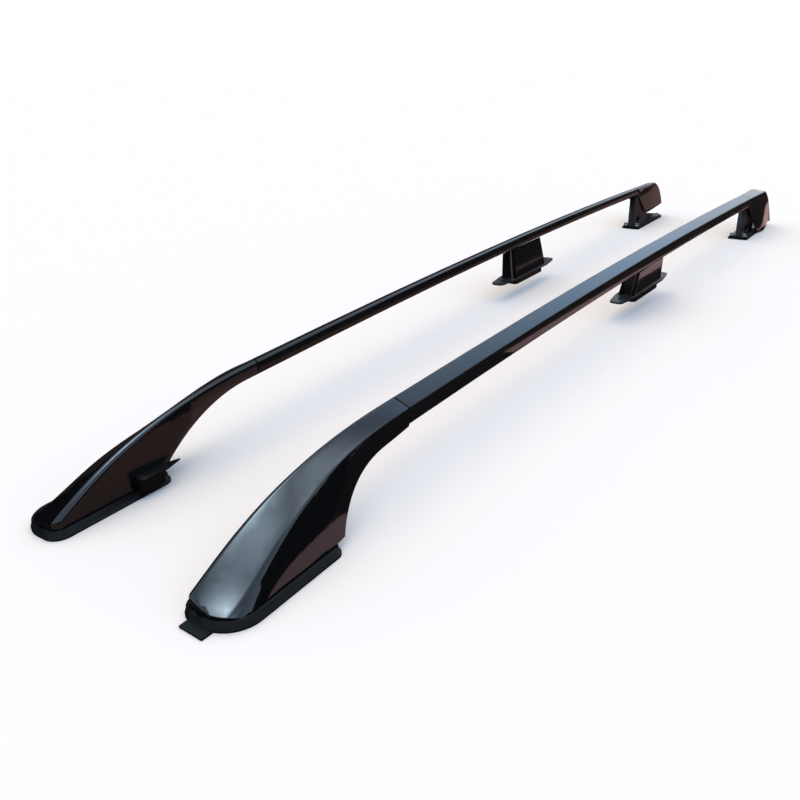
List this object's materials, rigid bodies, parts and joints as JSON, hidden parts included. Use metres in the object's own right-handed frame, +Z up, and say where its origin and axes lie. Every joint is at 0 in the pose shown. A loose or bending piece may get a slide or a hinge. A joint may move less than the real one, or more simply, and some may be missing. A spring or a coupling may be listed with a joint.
{
  "type": "pair of roof rails",
  "caption": "Matched left and right raised car roof rails: bowed gloss black bars on swooping front, bracketed middle and rolled rear feet, to which crossbars clamp.",
  "frame": {"origin": "centre of the pair's outline on the ground its front and rear feet stand on", "axes": "+X towards the rails' swooping front ends, +Y to the left rail, +Z up"},
  "size_m": [2.1526, 0.3712, 0.1226],
  "materials": {
    "bar_paint": "gloss black coat over extruded aluminium",
    "cover_gloss": "high-gloss black moulded plastic",
    "gasket_rubber": "matt black rubber",
    "clip_plastic": "matt black moulded plastic",
    "cast_metal": "black coat over cast aluminium",
    "plate_steel": "dark grey coated steel",
    "fastener_steel": "zinc-plated steel"
  },
  "bodies": {
    "root": {"left_rail_bar": "bar_paint", "left_front_cover": "cover_gloss", "left_front_gasket": "gasket_rubber", "left_front_bracket": "cast_metal", "left_front_clip": "clip_plastic", "left_mid_cover": "cover_gloss", "left_mid_bracket": "plate_steel", "left_mid_pad": "gasket_rubber", "left_mid_screws": "fastener_steel", "left_rear_cover": "cover_gloss", "left_rear_bracket": "cast_metal", "left_rear_gasket": "gasket_rubber", "left_rear_bolts": "fastener_steel", "right_rail_bar": "bar_paint", "right_front_cover": "cover_gloss", "right_front_gasket": "gasket_rubber", "right_front_bracket": "cast_metal", "right_front_clip": "clip_plastic", "right_mid_cover": "cover_gloss", "right_mid_bracket": "plate_steel", "right_mid_pad": "gasket_rubber", "right_mid_screws": "fastener_steel", "right_rear_cover": "cover_gloss", "right_rear_bracket": "cast_metal", "right_rear_gasket": "gasket_rubber", "right_rear_bolts": "fastener_steel", "left_nose_tab": "clip_plastic"}
  },
  "joints": []
}
